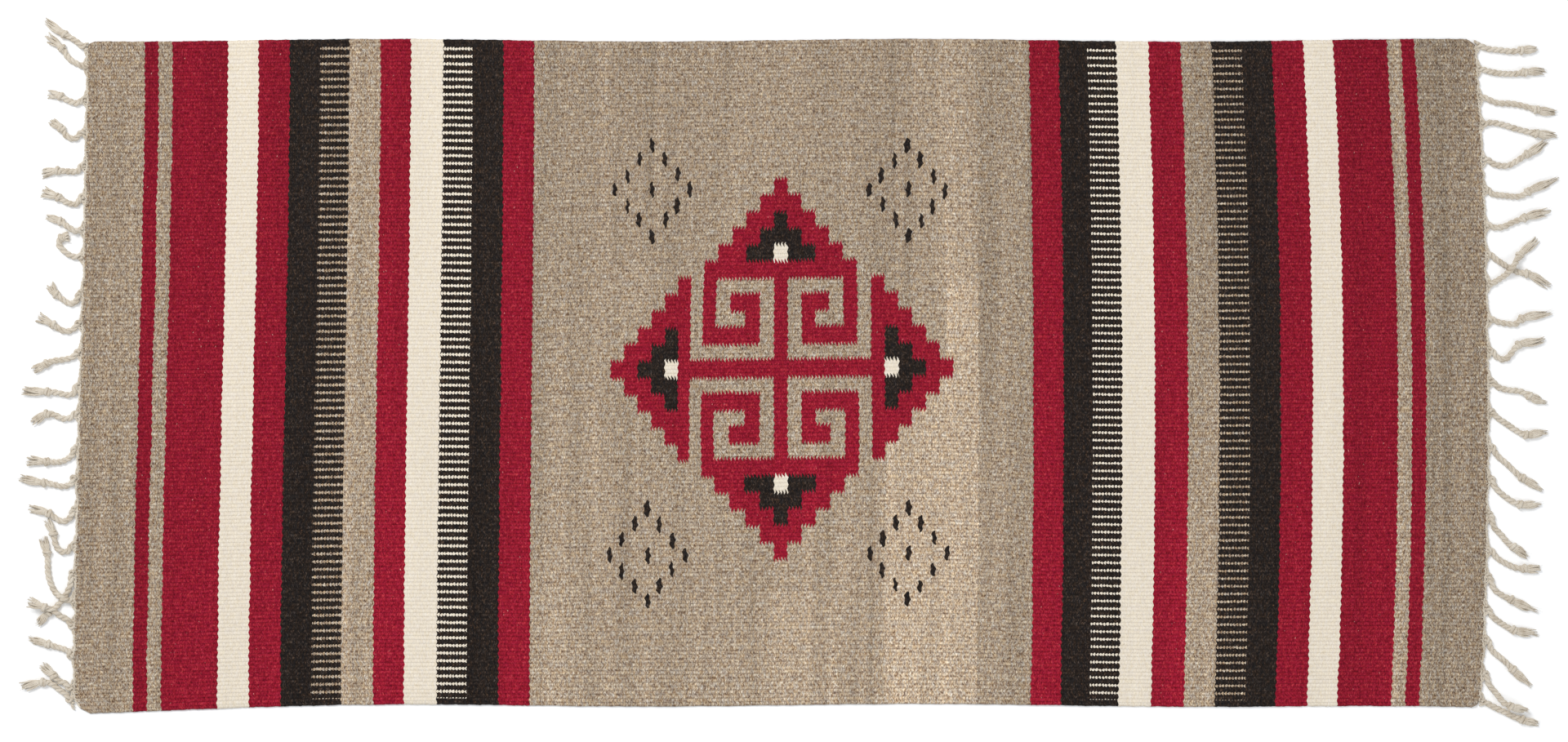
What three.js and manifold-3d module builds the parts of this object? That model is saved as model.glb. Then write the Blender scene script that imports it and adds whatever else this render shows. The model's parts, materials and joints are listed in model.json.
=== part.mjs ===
// A hand-woven, weft-faced wool runner rug with a knotted warp fringe at both ends.
// Millimetres. X runs along the rug, Y across it, Z up. The origin is under the centre of the
// medallion, on the face that lies on the floor. Each weft colour area is its own solid, because
// each is woven with its own length of yarn, and the warp ends come out as knotted tassels.

import * as THREE from 'three';
import { mergeVertices } from 'three/addons/utils/BufferGeometryUtils.js';
import Module from 'manifold-3d';

const wasm = await Module();
wasm.setup();

// Driving dimensions of the cloth
const WIDTH = 762;                 // 30 in loom width
const HALF_WIDTH = WIDTH / 2;
const THICKNESS = 4;               // one warp yarn covered by weft on both faces
const FIELD_HALF = 285;            // half the length of the plain grey field
const GAP = 0.3;                   // clearance between neighbouring weft areas
const EDGE_STEPS = 8;              // straight pieces along a curved band edge

// The cloth isn't a true rectangle: one end is skewed, the other bows out, and one side flares
const LEFT_SKEW = 8;
const RIGHT_BOW = 12;
const RIGHT_SKEW = -3;
const LEFT_FLARE = 9;
const RIGHT_FLARE = 4;
const SKEW_CURVE = 1.4;            // radians of a sine, so the skewed end curves near its corners
const WAVE_HEIGHT = 1.5;           // the long edges wander in a slow wave
const WAVE_LENGTH = 610;

// Driving dimensions of the fringe
const CORD_RADIUS = 3.1;           // a tassel is eight warp yarns plied into one cord
const KNOT_HALF_WIDTH = 5.2;
const KNOT_HALF_HEIGHT = 4.2;
const TUFT_HALF_WIDTH = 5.6;
const TUFT_HALF_HEIGHT = 3.2;
const TIP_RADIUS = 1.6;
const HEADER_RADIUS = 1.8;         // the warp yarn that runs along the edge between tassels
const HEADER_OUT = 2.4;            // from the cloth's end to the header's centre
const CORD_OUT = 1.1;              // from the cloth's end to where a tassel's cord begins
const STRAIGHT_OUT = 4.5;          // from the cloth's end to where the cord may start to bend
const LOFT_SIDES = 6;
const STEPS_PER_SPAN = 2;

const COLOURS = {
  grey: '#94866f',
  red: '#9d1730',
  black: '#2c2623',
  ticked: '#6b6258',
  cream: '#e9dfc8',
  warp: '#d5cab2',
};

// Weft bands from the field outwards: name, colour, width at the left end, width at the right end
const BANDS = [
  ['border_red_band', 'red', 35.5, 34],
  ['inner_black_band', 'black', 35.5, 33.5],
  ['inner_ticked_band', 'ticked', 34.5, 32.5],
  ['inner_cream_band', 'cream', 37, 37],
  ['middle_red_band', 'red', 35, 37.5],
  ['middle_grey_band', 'grey', 36.5, 35],
  ['outer_ticked_band', 'ticked', 33, 35],
  ['outer_black_band', 'black', 35.5, 34.5],
  ['outer_red_band', 'red', 36, 36],
  ['outer_cream_band', 'cream', 35.5, 34.5],
  ['wide_red_band', 'red', 64, 61.5],
  ['grey_pinstripe', 'grey', 16, 16],
  ['red_pinstripe', 'red', 16, 16],
  ['end_grey_band', 'grey', 67, 70],
];
const LEFT = { name: 'left', side: -1, widthColumn: 2 };
const RIGHT = { name: 'right', side: 1, widthColumn: 3 };
for (const end of [LEFT, RIGHT]) {
  end.half = BANDS.reduce((sum, band) => sum + band[end.widthColumn], FIELD_HALF);
}

// One quarter of the medallion as a weaver's chart: R red, K black, C cream, dots are the field.
// The last column and the last row are the medallion's centre lines.
const CHART = [
  '............R',
  '...........RR',
  '..........RRK',
  '.........RRKK',
  '........RRKKC',
  '.......RRRRRR',
  '.....R.R....R',
  '....RR.R.RR.R',
  '...RRR.R..R.R',
  '..RRKR.RRRR.R',
  '.RRKKR......R',
  'RRKKCRRRRRRRR',
];
const COLUMNS = 2 * CHART[0].length - 1;
const ROWS = 2 * CHART.length - 1;
const CELL_LENGTH = 15.6;
const CELL_WIDTH = 18.9;

// Tassels from the back edge to the front: where each leaves the cloth's end, measured across the
// rug, then its route as [out, across, lift] from there. The last two points are knot and tip.
// Tassels that lie across each other share a node.
const LEFT_GROUPS = [
  [
    { at: 374, route: [[9, 4], [18, 10], [26, 15], [49, 30]] },
    { at: 352, route: [[9, 2], [20, 9], [29, 21], [46, 35]] },
  ], [
    { at: 315, route: [[11, -5], [22, -2], [30, 3], [44, 7]] },
    { at: 278, route: [[13, -8], [22, -6], [29, 3], [41, 11]] },
  ], [
    { at: 240, route: [[9, -8], [21, -8], [32, -7], [50, -10]] },
    { at: 203, route: [[10, -8], [20, -7], [31, -1], [48, 5]] },
  ], [
    { at: 165, route: [[10, -2, 3], [18, 3, 4], [27, 10], [44, 14]] },
    { at: 134, route: [[13, 1], [23, 7], [29, 15], [25, 22], [17, 24]] },
  ], [
    { at: 93, route: [[8, -10], [15, -13], [23, -8], [30, -2], [39, 9]] },
    { at: 58, route: [[9, -6], [17, -9], [25, -7], [33, -2], [50, 7]] },
  ], [
    { at: 25, route: [[10, -6], [20, -9], [31, -10], [40, -13], [54, -22]] },
    { at: -13, route: [[7, -9], [14, -11], [24, -9], [37, -8], [65, -7]] },
  ], [
    { at: -45, route: [[9, -5], [19, -6], [28, -2], [37, -1], [54, -11]] },
    { at: -84, route: [[7, -9], [16, -15], [25, -17], [36, -17], [58, -15]] },
  ], [
    { at: -118, route: [[7, -7], [17, -11], [28, -9], [38, -7], [66, -3]] },
    { at: -155, route: [[6, -8], [15, -14], [23, -11], [32, -5], [54, 0]] },
    { at: -195, route: [[8, -8], [16, -9], [22, -3], [26, 12], [34, 27]] },
  ], [
    { at: -228, route: [[5, -12], [12, -26], [22, -39], [31, -46], [44, -59]] },
    { at: -260, route: [[12, 3, 6], [23, 10], [29, 24], [31, 41], [32, 55], [37, 72]] },
    { at: -289, route: [[7, 7], [16, 11], [24, 18, 4], [33, 22, 7], [51, 29, 5]] },
  ], [
    { at: -324, route: [[6, 6], [12, 9], [21, 11], [30, 14], [51, 21]] },
    { at: -362, route: [[9, 7], [18, 11], [23, 16], [37, 28]] },
    { at: -375, route: [[8, 7], [17, 13], [25, 20], [35, 22], [59, 15]] },
  ],
];
const RIGHT_GROUPS = [
  [
    { at: 374, route: [[13, -4], [27, -6], [41, -7], [52, -6], [70, -5]] },
    { at: 347, route: [[14, -3], [28, -6], [42, -6], [54, -4], [78, -3]] },
    { at: 314, route: [[19, -6], [37, -7], [54, -11], [66, -14], [88, -18]] },
  ], [
    { at: 283, route: [[12, 2], [26, 0], [40, -5], [52, -8], [64, -10], [87, -14]] },
    { at: 244, route: [[12, -6], [28, -8], [40, -3], [52, 5], [74, 18]] },
  ], [
    { at: 210, route: [[9, -6], [26, -9], [42, -9], [51, -4], [85, 11]] },
    { at: 168, route: [[10, -3], [20, -3], [32, 3], [45, 8], [74, 16]] },
  ], [
    { at: 135, route: [[12, -7], [26, -16], [37, -21], [47, -23], [73, -36]] },
    { at: 100, route: [[12, 4], [20, 9], [28, 19, 8], [38, 33], [57, 51]] },
  ], [
    { at: 60, route: [[10, -3], [22, -5], [33, -5], [39, 0], [72, 7]] },
    { at: 25, route: [[8, -7], [19, -11], [27, -4], [35, 5], [64, 11]] },
  ], [
    { at: -10, route: [[10, -7], [24, -11], [37, -13], [47, -18], [67, -25]] },
    { at: -45, route: [[10, -7], [21, -15], [32, -22], [43, -27], [67, -24]] },
  ], [
    { at: -84, route: [[10, -11], [22, -22], [31, -30], [39, -37], [62, -51]] },
    { at: -120, route: [[8, -10], [18, -21], [28, -28], [37, -31], [61, -31]] },
  ], [
    { at: -162, route: [[8, -15], [16, -24], [23, -32], [30, -37], [47, -48]] },
    { at: -202, route: [[11, -9], [23, -16], [34, -21], [43, -22], [61, -22]] },
  ], [
    { at: -232, route: [[10, -15], [20, -23], [29, -27], [59, -41]] },
    { at: -268, route: [[9, -10], [22, -20], [33, -25], [60, -31]] },
    { at: -303, route: [[9, -12], [22, -24], [33, -35], [54, -54]] },
  ], [
    { at: -342, route: [[8, -12], [16, -23], [23, -33, 6], [31, -37, 8], [52, -42, 6]] },
    { at: -375, route: [[13, -4], [27, -11], [38, -17], [48, -20], [66, -24]] },
  ],
];

// From loom position (along, across) to where that point lies on the floor
function lay(along, across) {
  const half = along < 0 ? LEFT.half : RIGHT.half;
  const s = along / half;
  const t = across / HALF_WIDTH;
  const leftSkew = -LEFT_SKEW * Math.sin(SKEW_CURVE * t);
  const rightSkew = RIGHT_BOW * (1 - t * t) + RIGHT_SKEW * t;
  const skew = s * (along < 0 ? leftSkew : rightSkew);
  const flare = t < 0 ? (along < 0 ? LEFT_FLARE : RIGHT_FLARE) * s ** 4 * t : 0;
  const wave = WAVE_HEIGHT * Math.sin(2 * Math.PI * along / WAVE_LENGTH);
  return new THREE.Vector2(along + skew, across + flare + wave);
}

function mesh(name, colour, geometry) {
  const material = new THREE.MeshStandardMaterial({ color: COLOURS[colour], roughness: 0.95, metalness: 0 });
  const result = new THREE.Mesh(geometry, material);
  result.name = name;
  return result;
}

function slab(outline, holes = []) {
  const shape = new THREE.Shape(outline);
  for (const hole of holes) {
    shape.holes.push(new THREE.Path(hole));
  }
  return new THREE.ExtrudeGeometry(shape, { depth: THICKNESS, bevelEnabled: false });
}

// The outline of a strip that runs the rug's full width between two positions along it
function stripOutline(from, to) {
  const low = Math.min(from, to) + GAP / 2;
  const high = Math.max(from, to) - GAP / 2;
  const across = Array.from({ length: EDGE_STEPS + 1 }, (_, i) => (2 * i / EDGE_STEPS - 1) * HALF_WIDTH);
  const up = across.map((y) => lay(high, y));
  const down = across.map((y) => lay(low, y)).reverse();
  return [...up, ...down];
}

function bands(end) {
  let inner = FIELD_HALF;
  return BANDS.map((band) => {
    const outer = inner + band[end.widthColumn];
    const outline = stripOutline(end.side * inner, end.side * outer);
    inner = outer;
    return mesh(`${end.name}_${band[0]}`, band[1], slab(outline));
  });
}

// The chart's letter at a cell, with the quarter mirrored about both centre lines
function chartLetter(column, row) {
  const inside = column >= 0 && row >= 0 && column < COLUMNS && row < ROWS;
  return inside ? CHART[Math.min(row, ROWS - 1 - row)][Math.min(column, COLUMNS - 1 - column)] : '.';
}

// Closed loops round the cells that belong to a region, with the region on the left of each loop.
// Every corner moves by inset into the region, or out of it where inset is negative.
function chartLoops(belongs, inset) {
  const next = new Map();
  const key = (point) => point.join();
  for (let row = 0; row < ROWS; row++) {
    for (let column = 0; column < COLUMNS; column++) {
      if (!belongs(column, row)) continue;
      const corners = [[column, row + 1], [column + 1, row + 1], [column + 1, row], [column, row]];
      const neighbours = [[column, row + 1], [column + 1, row], [column, row - 1], [column - 1, row]];
      neighbours.forEach(([c, r], i) => {
        if (!belongs(c, r)) next.set(key(corners[i]), [corners[i], corners[(i + 1) % 4]]);
      });
    }
  }
  const loops = [];
  while (next.size) {
    const loop = [];
    let here = next.keys().next().value;
    while (next.has(here)) {
      const [from, to] = next.get(here);
      next.delete(here);
      loop.push(from);
      here = key(to);
    }
    loops.push(insetCorners(loop, inset));
  }
  return loops;
}

function insetCorners(loop, inset) {
  const direction = (a, b) => new THREE.Vector2(Math.sign(b[0] - a[0]), Math.sign(a[1] - b[1]));
  const outline = [];
  loop.forEach((point, i) => {
    const arriving = direction(loop[(i + loop.length - 1) % loop.length], point);
    const leaving = direction(point, loop[(i + 1) % loop.length]);
    if (arriving.equals(leaving)) return;
    const along = (point[0] - COLUMNS / 2) * CELL_LENGTH - (arriving.y + leaving.y) * inset;
    const across = (ROWS / 2 - point[1]) * CELL_WIDTH + (arriving.x + leaving.x) * inset;
    outline.push(lay(along, across));
  });
  return outline;
}

function medallion() {
  const inset = GAP / 2;
  const reds = chartLoops((c, r) => chartLetter(c, r) === 'R', inset);
  reds.sort((a, b) => Math.abs(THREE.ShapeUtils.area(b)) - Math.abs(THREE.ShapeUtils.area(a)));
  const middleColumn = (COLUMNS - 1) / 2;
  const middleRow = (ROWS - 1) / 2;
  const quarters = {
    back: (c, r) => r < middleRow && Math.abs(c - middleColumn) < middleRow - r,
    front: (c, r) => r > middleRow && Math.abs(c - middleColumn) < r - middleRow,
    left: (c) => c < CHART[0].indexOf('R') / 2,
    right: (c) => c > COLUMNS - 1 - CHART[0].indexOf('R') / 2,
  };
  const insets = Object.entries(quarters).flatMap(([place, within]) => {
    const black = chartLoops((c, r) => chartLetter(c, r) === 'K' && within(c, r), inset);
    const cream = chartLoops((c, r) => chartLetter(c, r) === 'C' && within(c, r), inset);
    return [
      mesh(`medallion_${place}_black_steps`, 'black', slab(black[0])),
      mesh(`medallion_${place}_cream_square`, 'cream', slab(cream[0])),
    ];
  });
  return [mesh('medallion_red_fret', 'red', slab(reds[0], reds.slice(1))), ...insets];
}

function field() {
  const opening = chartLoops((c, r) => 'RKC'.includes(chartLetter(c, r)), -GAP / 2);
  return mesh('grey_field', 'grey', slab(stripOutline(-FIELD_HALF, FIELD_HALF), opening));
}

// A closed solid through rings: each station has a centre, a half width and a half height
function loft(stations) {
  const positions = [];
  const indices = [];
  stations.forEach((station, i) => {
    const before = stations[Math.max(0, i - 1)].centre;
    const after = stations[Math.min(stations.length - 1, i + 1)].centre;
    const sideways = new THREE.Vector3(before.y - after.y, after.x - before.x, 0).normalize();
    for (let k = 0; k < LOFT_SIDES; k++) {
      const angle = k / LOFT_SIDES * 2 * Math.PI;
      const point = station.centre.clone().addScaledVector(sideways, Math.cos(angle) * station.halfWidth);
      point.z += Math.sin(angle) * station.halfHeight;
      positions.push(...point.toArray());
    }
  });
  const last = (stations.length - 1) * LOFT_SIDES;
  for (let k = 0; k < LOFT_SIDES; k++) {
    const n = (k + 1) % LOFT_SIDES;
    for (let ring = 0; ring < last; ring += LOFT_SIDES) {
      indices.push(ring + k, ring + n, ring + LOFT_SIDES + k);
      indices.push(ring + n, ring + LOFT_SIDES + n, ring + LOFT_SIDES + k);
    }
    if (k > 0 && k < LOFT_SIDES - 1) {
      indices.push(0, n, k);
      indices.push(last, last + k, last + n);
    }
  }
  const geometry = new THREE.BufferGeometry();
  geometry.setAttribute('position', new THREE.Float32BufferAttribute(positions, 3));
  geometry.setIndex(indices);
  return geometry;
}

// The height of a six-sided ring's centre when its lowest side lies on the floor
function restingHeight(halfHeight) {
  return halfHeight * Math.sin(2 * Math.PI / LOFT_SIDES);
}

// A point beyond the cloth's end, at a position across the rug
function beyondEnd(end, across, out) {
  const edge = lay(end.side * end.half, across);
  return new THREE.Vector2(edge.x + end.side * out, edge.y);
}

function tassel(end, { at, route }) {
  const root = beyondEnd(end, at, 0);
  const points = [];
  for (const [out, across, lift = 0] of [[CORD_OUT, 0], [STRAIGHT_OUT, 0], ...route]) {
    points.push(new THREE.Vector3(root.x + end.side * out, root.y + across, lift));
  }
  const curve = new THREE.CatmullRomCurve3(points, false, 'centripetal');
  const knotSpan = points.length - 2;
  const sizes = [
    [0, CORD_RADIUS, CORD_RADIUS],
    [knotSpan - 0.5, CORD_RADIUS, CORD_RADIUS],
    [knotSpan, KNOT_HALF_WIDTH, KNOT_HALF_HEIGHT],
    [knotSpan + 0.5, TUFT_HALF_WIDTH, TUFT_HALF_HEIGHT],
    [knotSpan + 1, TIP_RADIUS, TIP_RADIUS],
  ];
  const count = (points.length - 1) * STEPS_PER_SPAN;
  const stations = Array.from({ length: count + 1 }, (_, i) => {
    const place = i / STEPS_PER_SPAN;
    const [, halfWidth, halfHeight] = sizes.findLast(([start]) => start <= place);
    const centre = curve.getPoint(i / count);
    centre.z += restingHeight(halfHeight);
    return { centre, halfWidth, halfHeight };
  });
  return loft(stations);
}

// The warp yarn along the cloth's end that carries a group's tassels
function header(end, group) {
  const first = group[0].at;
  const last = group[group.length - 1].at;
  const stations = [0, 0.5, 1].map((part) => {
    const place = beyondEnd(end, first + (last - first) * part, HEADER_OUT);
    const centre = new THREE.Vector3(place.x, place.y, restingHeight(HEADER_RADIUS));
    return { centre, halfWidth: HEADER_RADIUS, halfHeight: HEADER_RADIUS };
  });
  return loft(stations);
}

function asManifold(geometry) {
  const merged = mergeVertices(geometry);
  const solid = new wasm.Mesh({
    numProp: 3,
    vertProperties: new Float32Array(merged.attributes.position.array),
    triVerts: new Uint32Array(merged.index.array),
  });
  return new wasm.Manifold(solid);
}

function joined(geometries) {
  const result = geometries.map(asManifold).reduce((a, b) => a.add(b)).getMesh();
  const geometry = new THREE.BufferGeometry();
  geometry.setAttribute('position', new THREE.Float32BufferAttribute(result.vertProperties, 3));
  geometry.setIndex([...result.triVerts]);
  return geometry;
}

function fringe(end, groups) {
  let number = 1;
  return groups.map((group) => {
    const first = String(number).padStart(2, '0');
    number += group.length;
    const last = String(number - 1).padStart(2, '0');
    const geometry = joined([header(end, group), ...group.map((item) => tassel(end, item))]);
    return mesh(`${end.name}_tassels_${first}_to_${last}`, 'warp', geometry);
  });
}

const rug = new THREE.Group();
rug.add(field(), ...medallion());
rug.add(...bands(LEFT), ...bands(RIGHT));
rug.add(...fringe(LEFT, LEFT_GROUPS), ...fringe(RIGHT, RIGHT_GROUPS));

export default rug;
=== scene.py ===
"""Looks of a hand-woven, weft-faced wool runner rug with a knotted warp fringe at both ends.

Metres, in the CAD frame: X runs along the rug, Y across it, Z up, and the floor is at Z 0.
"Loom" positions are (along, across) on the cloth before it was skewed, as in the CAD source.
"""

import json
import math

import bpy
import numpy as np
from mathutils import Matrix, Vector


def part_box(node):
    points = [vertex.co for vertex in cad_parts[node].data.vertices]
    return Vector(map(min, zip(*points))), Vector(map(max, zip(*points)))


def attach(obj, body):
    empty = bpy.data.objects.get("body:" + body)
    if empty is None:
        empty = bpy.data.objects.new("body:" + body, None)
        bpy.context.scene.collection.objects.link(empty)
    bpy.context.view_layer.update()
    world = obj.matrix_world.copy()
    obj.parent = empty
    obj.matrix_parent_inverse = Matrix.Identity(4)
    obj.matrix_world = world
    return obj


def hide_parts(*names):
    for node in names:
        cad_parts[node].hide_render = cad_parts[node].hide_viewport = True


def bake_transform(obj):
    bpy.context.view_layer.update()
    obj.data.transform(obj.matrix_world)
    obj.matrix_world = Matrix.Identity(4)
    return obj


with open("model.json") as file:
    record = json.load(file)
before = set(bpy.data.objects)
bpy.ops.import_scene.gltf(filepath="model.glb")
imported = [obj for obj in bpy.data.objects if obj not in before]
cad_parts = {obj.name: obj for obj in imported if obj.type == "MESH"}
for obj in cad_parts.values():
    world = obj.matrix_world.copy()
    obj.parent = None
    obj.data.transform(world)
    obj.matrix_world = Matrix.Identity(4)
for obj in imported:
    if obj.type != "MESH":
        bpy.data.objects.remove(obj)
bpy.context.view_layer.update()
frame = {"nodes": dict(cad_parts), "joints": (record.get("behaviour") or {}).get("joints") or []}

MM = 0.001
TAU = 2 * math.pi

# Cloth, as in the CAD source
HALF_WIDTH = 0.381
FIELD_HALF = 0.285  # half the length of the plain grey field
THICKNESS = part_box("left_end_grey_band")[1].z
LEFT_SKEW = 8 * MM
RIGHT_BOW = 12 * MM
RIGHT_SKEW = -3 * MM
LEFT_FLARE = 9 * MM
RIGHT_FLARE = 4 * MM
SKEW_CURVE = 1.4  # radians of a sine, so the skewed end curves near its corners
WAVE_HEIGHT = 1.5 * MM  # the long edges wander in a slow wave
WAVE_LENGTH = 0.610
CELL_LENGTH = 15.6 * MM  # one cell of the medallion's chart
CELL_WIDTH = 18.9 * MM

# Weave
WARPS = 174
WARP_PITCH = 2 * HALF_WIDTH / WARPS
BEAD = 3.6 * MM  # two picks of weft along the rug
SCALLOP = 0.75 * MM  # neighbouring ribs of weft start and stop this far apart
RIB_RELIEF = 0.3 * MM  # from the hollows between the ribs to their crests
SWELL = 0.3 * MM  # slow rise and fall of the upper face
FINE_RELIEF = 0.09 * MM  # uneven yarn on the upper face
UNDER_RELIEF = 0.12 * MM  # ribs on the lower face
SINK = 0.15 * MM  # the upper face's middle height is this far below the thickness
RIM = 2.4 * MM  # the cloth is rounded off this far in from its rim
RIM_DROP = 1.7 * MM
RIM_RISE = 1.2 * MM
PICK_WANDER = 0.55 * MM  # the picks of weft aren't quite straight
SELVEDGE = 6 * MM  # only this strip of the long edges wobbles, by so many mm
SELVEDGE_WOBBLE = 0.5
END_RIPPLE = 1.5 * MM

# Where the medallion was woven off its chart
NUDGE = 5.2 * MM  # the whole medallion is this far back
LEFT_SPIRALS = -0.072  # the spirals' middles along the rug
RIGHT_SPIRALS = 0.078
SPIRAL_REACH = 0.034

# How far each corner is rounded, by end (-1 left, 1 right) and edge (-1 front, 1 back), and how many
# of those radii along the cloth's edge the rounding starts
CORNER_RADIUS = {(-1, -1): 25 * MM, (-1, 1): 11 * MM, (1, -1): 12 * MM, (1, 1): 14 * MM}
CORNER_REACH = 2.2

# Weft bands from the field outwards: name, wool, width at the left end and at the right end in mm.
# Wools: R red, K black, C cream, G grey, T black with cream ticks, U black with grey ticks.
BANDS = [
    ("border_red_band", "R", 35.5, 34), ("inner_black_band", "K", 35.5, 33.5),
    ("inner_ticked_band", "T", 34.5, 32.5), ("inner_cream_band", "C", 37, 37),
    ("middle_red_band", "R", 35, 37.5), ("middle_grey_band", "G", 36.5, 35),
    ("outer_ticked_band", "U", 33, 35), ("outer_black_band", "K", 35.5, 34.5),
    ("outer_red_band", "R", 36, 36), ("outer_cream_band", "C", 35.5, 34.5),
    ("wide_red_band", "R", 64, 61.5), ("grey_pinstripe", "G", 16, 16),
    ("red_pinstripe", "R", 16, 16), ("end_grey_band", "G", 67, 70),
]
LEFT_HALF = FIELD_HALF + sum(b[2] for b in BANDS) * MM
RIGHT_HALF = FIELD_HALF + sum(b[3] for b in BANDS) * MM
HALF = {-1: LEFT_HALF, 1: RIGHT_HALF}
END = {-1: "left", 1: "right"}

# One quarter of the medallion: R red, K black, C cream, dots are the field
CHART = [
    "............R", "...........RR", "..........RRK", ".........RRKK", "........RRKKC", ".......RRRRRR",
    ".....R.R....R", "....RR.R.RR.R", "...RRR.R..R.R", "..RRKR.RRRR.R", ".RRKKR......R", "RRKKCRRRRRRRR",
]
COLUMNS = 2 * len(CHART[0]) - 1
ROWS = 2 * len(CHART) - 1

# Tassels from the back edge to the front, as in the CAD source, in mm: where each leaves the
# cloth's end, then its route as (out, across, lift). The last two points are knot and tip.
LEFT_GROUPS = [
    [(374, [(9, 4), (18, 10), (26, 15), (49, 30)]), (352, [(9, 2), (20, 9), (29, 21), (46, 35)])],
    [(315, [(11, -5), (22, -2), (30, 3), (44, 7)]), (278, [(13, -8), (22, -6), (29, 3), (41, 11)])],
    [(240, [(9, -8), (21, -8), (32, -7), (50, -10)]), (203, [(10, -8), (20, -7), (31, -1), (48, 5)])],
    [(165, [(10, -2, 3), (18, 3, 4), (27, 10), (44, 14)]),
     (134, [(13, 1), (23, 7), (29, 15), (25, 22), (17, 24)])],
    [(93, [(8, -10), (15, -13), (23, -8), (30, -2), (39, 9)]),
     (58, [(9, -6), (17, -9), (25, -7), (33, -2), (50, 7)])],
    [(25, [(10, -6), (20, -9), (31, -10), (40, -13), (54, -22)]),
     (-13, [(7, -9), (14, -11), (24, -9), (37, -8), (65, -7)])],
    [(-45, [(9, -5), (19, -6), (28, -2), (37, -1), (54, -11)]),
     (-84, [(7, -9), (16, -15), (25, -17), (36, -17), (58, -15)])],
    [(-118, [(7, -7), (17, -11), (28, -9), (38, -7), (66, -3)]),
     (-155, [(6, -8), (15, -14), (23, -11), (32, -5), (54, 0)]),
     (-195, [(8, -8), (16, -9), (22, -3), (26, 12), (34, 27)])],
    [(-228, [(5, -12), (12, -26), (22, -39), (31, -46), (44, -59)]),
     (-260, [(12, 3, 6), (23, 10), (29, 24), (31, 41), (32, 55), (37, 72)]),
     (-289, [(7, 7), (16, 11), (24, 18, 4), (33, 22, 7), (51, 29, 5)])],
    [(-324, [(6, 6), (12, 9), (21, 11), (30, 14), (51, 21)]),
     (-362, [(9, 7), (18, 11), (23, 16), (37, 28)]),
     (-375, [(8, 7), (17, 13), (25, 20), (35, 22), (59, 15)])],
]
RIGHT_GROUPS = [
    [(374, [(13, -4), (27, -6), (41, -7), (52, -6), (70, -5)]),
     (347, [(14, -3), (28, -6), (42, -6), (54, -4), (78, -3)]),
     (314, [(19, -6), (37, -7), (54, -11), (66, -14), (88, -18)])],
    [(283, [(12, 2), (26, 0), (40, -5), (52, -8), (64, -10), (87, -14)]),
     (244, [(12, -6), (28, -8), (40, -3), (52, 5), (74, 18)])],
    [(210, [(9, -6), (26, -9), (42, -9), (51, -4), (85, 11)]),
     (168, [(10, -3), (20, -3), (32, 3), (45, 8), (74, 16)])],
    [(135, [(12, -7), (26, -16), (37, -21), (47, -23), (73, -36)]),
     (100, [(12, 4), (20, 9), (28, 19, 8), (38, 33), (57, 51)])],
    [(60, [(10, -3), (22, -5), (33, -5), (39, 0), (72, 7)]),
     (25, [(8, -7), (19, -11), (27, -4), (35, 5), (64, 11)])],
    [(-10, [(10, -7), (24, -11), (37, -13), (47, -18), (67, -25)]),
     (-45, [(10, -7), (21, -15), (32, -22), (43, -27), (67, -24)])],
    [(-84, [(10, -11), (22, -22), (31, -30), (39, -37), (62, -51)]),
     (-120, [(8, -10), (18, -21), (28, -28), (37, -31), (61, -31)])],
    [(-162, [(8, -15), (16, -24), (23, -32), (30, -37), (47, -48)]),
     (-202, [(11, -9), (23, -16), (34, -21), (43, -22), (61, -22)])],
    [(-232, [(10, -15), (20, -23), (29, -27), (59, -41)]),
     (-268, [(9, -10), (22, -20), (33, -25), (60, -31)]),
     (-303, [(9, -12), (22, -24), (33, -35), (54, -54)])],
    [(-342, [(8, -12), (16, -23), (23, -33, 6), (31, -37, 8), (52, -42, 6)]),
     (-375, [(13, -4), (27, -11), (38, -17), (48, -20), (66, -24)])],
]


# ---- where loom positions lie

def lay(along, across):
    """Where loom positions lie on the floor, as in the CAD source."""
    along, across = np.asarray(along, float), np.asarray(across, float)
    s = along / np.where(along < 0, LEFT_HALF, RIGHT_HALF)
    t = across / HALF_WIDTH
    left = -LEFT_SKEW * np.sin(SKEW_CURVE * t)
    right = RIGHT_BOW * (1 - t * t) + RIGHT_SKEW * t
    flare = np.where(t < 0, np.where(along < 0, LEFT_FLARE, RIGHT_FLARE) * s ** 4 * t, 0)
    x = along + s * np.where(along < 0, left, right)
    y = across + flare + WAVE_HEIGHT * np.sin(TAU * along / WAVE_LENGTH)
    return x, y


def unit(values):
    """The values held between 0 and 1."""
    return np.clip(values, 0, 1)


def wander(a, b, lengths, seed):
    """A smooth value about -1..1 that wanders over two coordinates, with those wavelengths."""
    rng = np.random.default_rng(seed)
    total = np.zeros(np.broadcast(a, b).shape)
    for length_a, length_b in lengths:
        for _ in range(3):
            phase = rng.uniform(0, TAU, 2)
            stretch = rng.uniform(0.75, 1.3, 2)
            wave_a = np.sin(TAU * a / (length_a * stretch[0]) + phase[0])
            wave_b = np.sin(TAU * b / (length_b * stretch[1]) + phase[1])
            total = total + wave_a * wave_b
    return total / (1.2 * math.sqrt(3 * len(lengths)))


def corner_pull(along, across):
    """How far the rounded corners pull the cloth's ends in."""
    pull = np.zeros(np.broadcast(along, across).shape)
    for (side, edge), radius in CORNER_RADIUS.items():
        into = np.clip(edge * across - (HALF_WIDTH - radius), 0, radius * 0.98)
        round_off = radius - np.sqrt(radius ** 2 - into ** 2)
        reach = CORNER_REACH * radius
        near_end = unit((side * along - (HALF[side] - reach)) / reach) ** 2
        pull = pull - side * round_off * near_end
    return pull


def end_ripple(along, across):
    """How far the cloth's ends go in and out between the tassels."""
    half = np.where(along < 0, LEFT_HALF, RIGHT_HALF)
    return END_RIPPLE * (along / half) ** 9 * wander(across, 0 * along, [(0.034, 1), (0.09, 1)], 15)


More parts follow.
